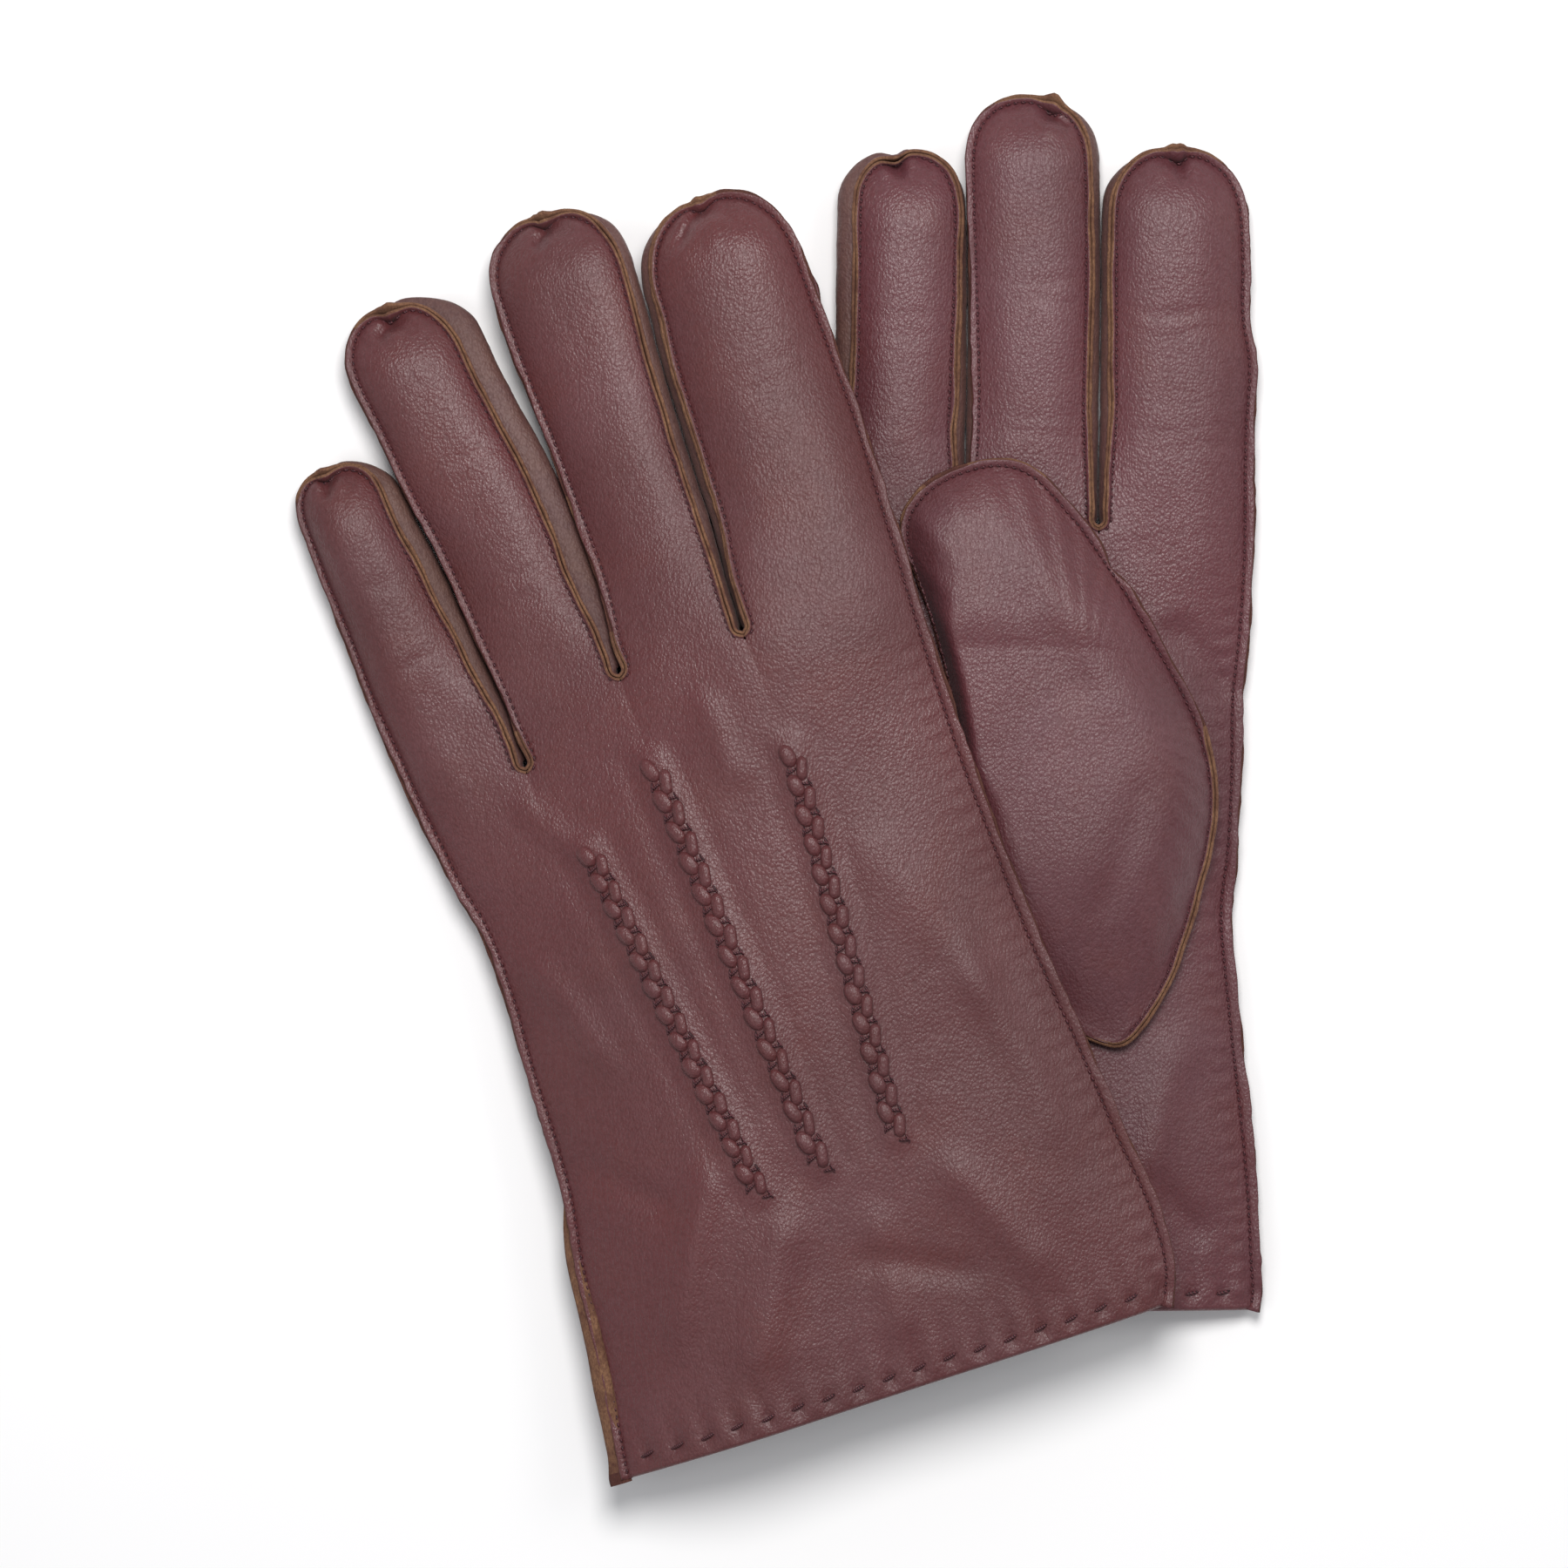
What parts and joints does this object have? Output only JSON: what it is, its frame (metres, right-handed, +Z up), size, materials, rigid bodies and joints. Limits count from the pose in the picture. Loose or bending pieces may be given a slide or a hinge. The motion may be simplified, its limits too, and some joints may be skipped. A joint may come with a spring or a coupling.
{
  "type": "pair of leather gloves",
  "caption": "Pair of gentlemen's leather dress gloves laid flat, the left glove back up across the right glove palm up, with raised points, fourchettes, linings and folding fingers.",
  "frame": {"origin": "middle of the pair's bounding box, on the surface that the right glove lies on", "axes": "+Y from the cuffs to the fingertips along the right glove, +X towards the right glove's index side, +Z up"},
  "size_m": [0.1952, 0.2762, 0.0287],
  "materials": {
    "leather": "smooth burgundy brown nappa with a satin sheen",
    "fourchette_leather": "the same leather, darker in the gaps, with raw tan edges",
    "lining": "fine brown knitted lining",
    "thread": "dark burgundy waxed thread"
  },
  "bodies": {
    "right_glove": {"right_fork_little_ring": "fourchette_leather", "right_fork_middle_index": "fourchette_leather", "right_fork_ring_middle": "fourchette_leather", "right_hand_back": "leather", "right_hand_lining": "lining", "right_hand_palm": "leather", "right_hem_thread": "thread", "right_index_side_thread": "thread", "right_little_lining": "lining", "right_thumb_root": "leather"},
    "left_glove": {"left_hand_back": "leather", "left_hand_lining": "lining", "left_hand_palm": "leather", "left_hem_thread": "thread", "left_index_side_thread": "thread", "left_little_side_thread": "thread", "left_point_1": "leather", "left_point_2": "leather", "left_point_3": "leather", "left_thumb_back": "leather", "left_thumb_front": "leather", "left_thumb_lining": "lining", "left_thumb_root": "leather"},
    "left_little_finger": {"left_little_back": "leather", "left_little_fourchette_inner": "fourchette_leather", "left_little_lining": "lining", "left_little_palm": "leather"},
    "left_ring_finger": {"left_ring_back": "leather", "left_ring_fourchette_inner": "fourchette_leather", "left_ring_fourchette_outer": "fourchette_leather", "left_ring_lining": "lining", "left_ring_palm": "leather"},
    "left_middle_finger": {"left_middle_back": "leather", "left_middle_fourchette_inner": "fourchette_leather", "left_middle_fourchette_outer": "fourchette_leather", "left_middle_lining": "lining", "left_middle_palm": "leather"},
    "left_index_finger": {"left_index_back": "leather", "left_index_fourchette_outer": "fourchette_leather", "left_index_lining": "lining", "left_index_palm": "leather"},
    "right_ring_finger": {"right_ring_back": "leather", "right_ring_fourchette_inner": "fourchette_leather", "right_ring_fourchette_outer": "fourchette_leather", "right_ring_lining": "lining", "right_ring_palm": "leather"},
    "right_middle_finger": {"right_middle_back": "leather", "right_middle_fourchette_inner": "fourchette_leather", "right_middle_fourchette_outer": "fourchette_leather", "right_middle_lining": "lining", "right_middle_palm": "leather"},
    "right_index_finger": {"right_index_back": "leather", "right_index_fourchette_outer": "fourchette_leather", "right_index_lining": "lining", "right_index_palm": "leather"},
    "right_thumb": {"right_thumb_back": "leather", "right_thumb_front": "leather", "right_thumb_lining": "lining"}
  },
  "joints": [
    {"name": "left_glove_lift", "type": "slide", "parent": "right_glove", "child": "left_glove", "axis": [0, 0, 1], "range_m": [0, 0.08]},
    {"name": "left_little_fold", "type": "hinge", "parent": "left_glove", "child": "left_little_finger", "pos_m": [-0.05572, 0.00698, 0.01193], "axis": [0.945, 0.3098, 0.1052], "range_deg": [0, 60]},
    {"name": "left_ring_fold", "type": "hinge", "parent": "left_glove", "child": "left_ring_finger", "pos_m": [-0.04363, 0.02358, 0.01562], "axis": [0.9162, 0.3003, 0.2653], "range_deg": [0, 60]},
    {"name": "left_middle_fold", "type": "hinge", "parent": "left_glove", "child": "left_middle_finger", "pos_m": [-0.02015, 0.03127, 0.02291], "axis": [0.9198, 0.3015, 0.2511], "range_deg": [0, 60]},
    {"name": "left_index_fold", "type": "hinge", "parent": "left_glove", "child": "left_index_finger", "pos_m": [0.00418, 0.03925, 0.02645], "axis": [0.9501, 0.3115, 0.018], "range_deg": [0, 60]},
    {"name": "right_ring_fold", "type": "hinge", "parent": "right_glove", "child": "right_ring_finger", "pos_m": [0.02285, 0.0906, 0.011], "axis": [1, 0, 0], "range_deg": [0, 60]},
    {"name": "right_middle_fold", "type": "hinge", "parent": "right_glove", "child": "right_middle_finger", "pos_m": [0.05014, 0.0716, 0.01098], "axis": [1, 0, 0], "range_deg": [0, 60]},
    {"name": "right_index_fold", "type": "hinge", "parent": "right_glove", "child": "right_index_finger", "pos_m": [0.07928, 0.0546, 0.01041], "axis": [1, 0, 0], "range_deg": [0, 60]},
    {"name": "right_thumb_fold", "type": "hinge", "parent": "right_glove", "child": "right_thumb", "pos_m": [0.0646, 0.0066, 0.01962], "axis": [1, 0, 0], "range_deg": [0, 60]}
  ]
}
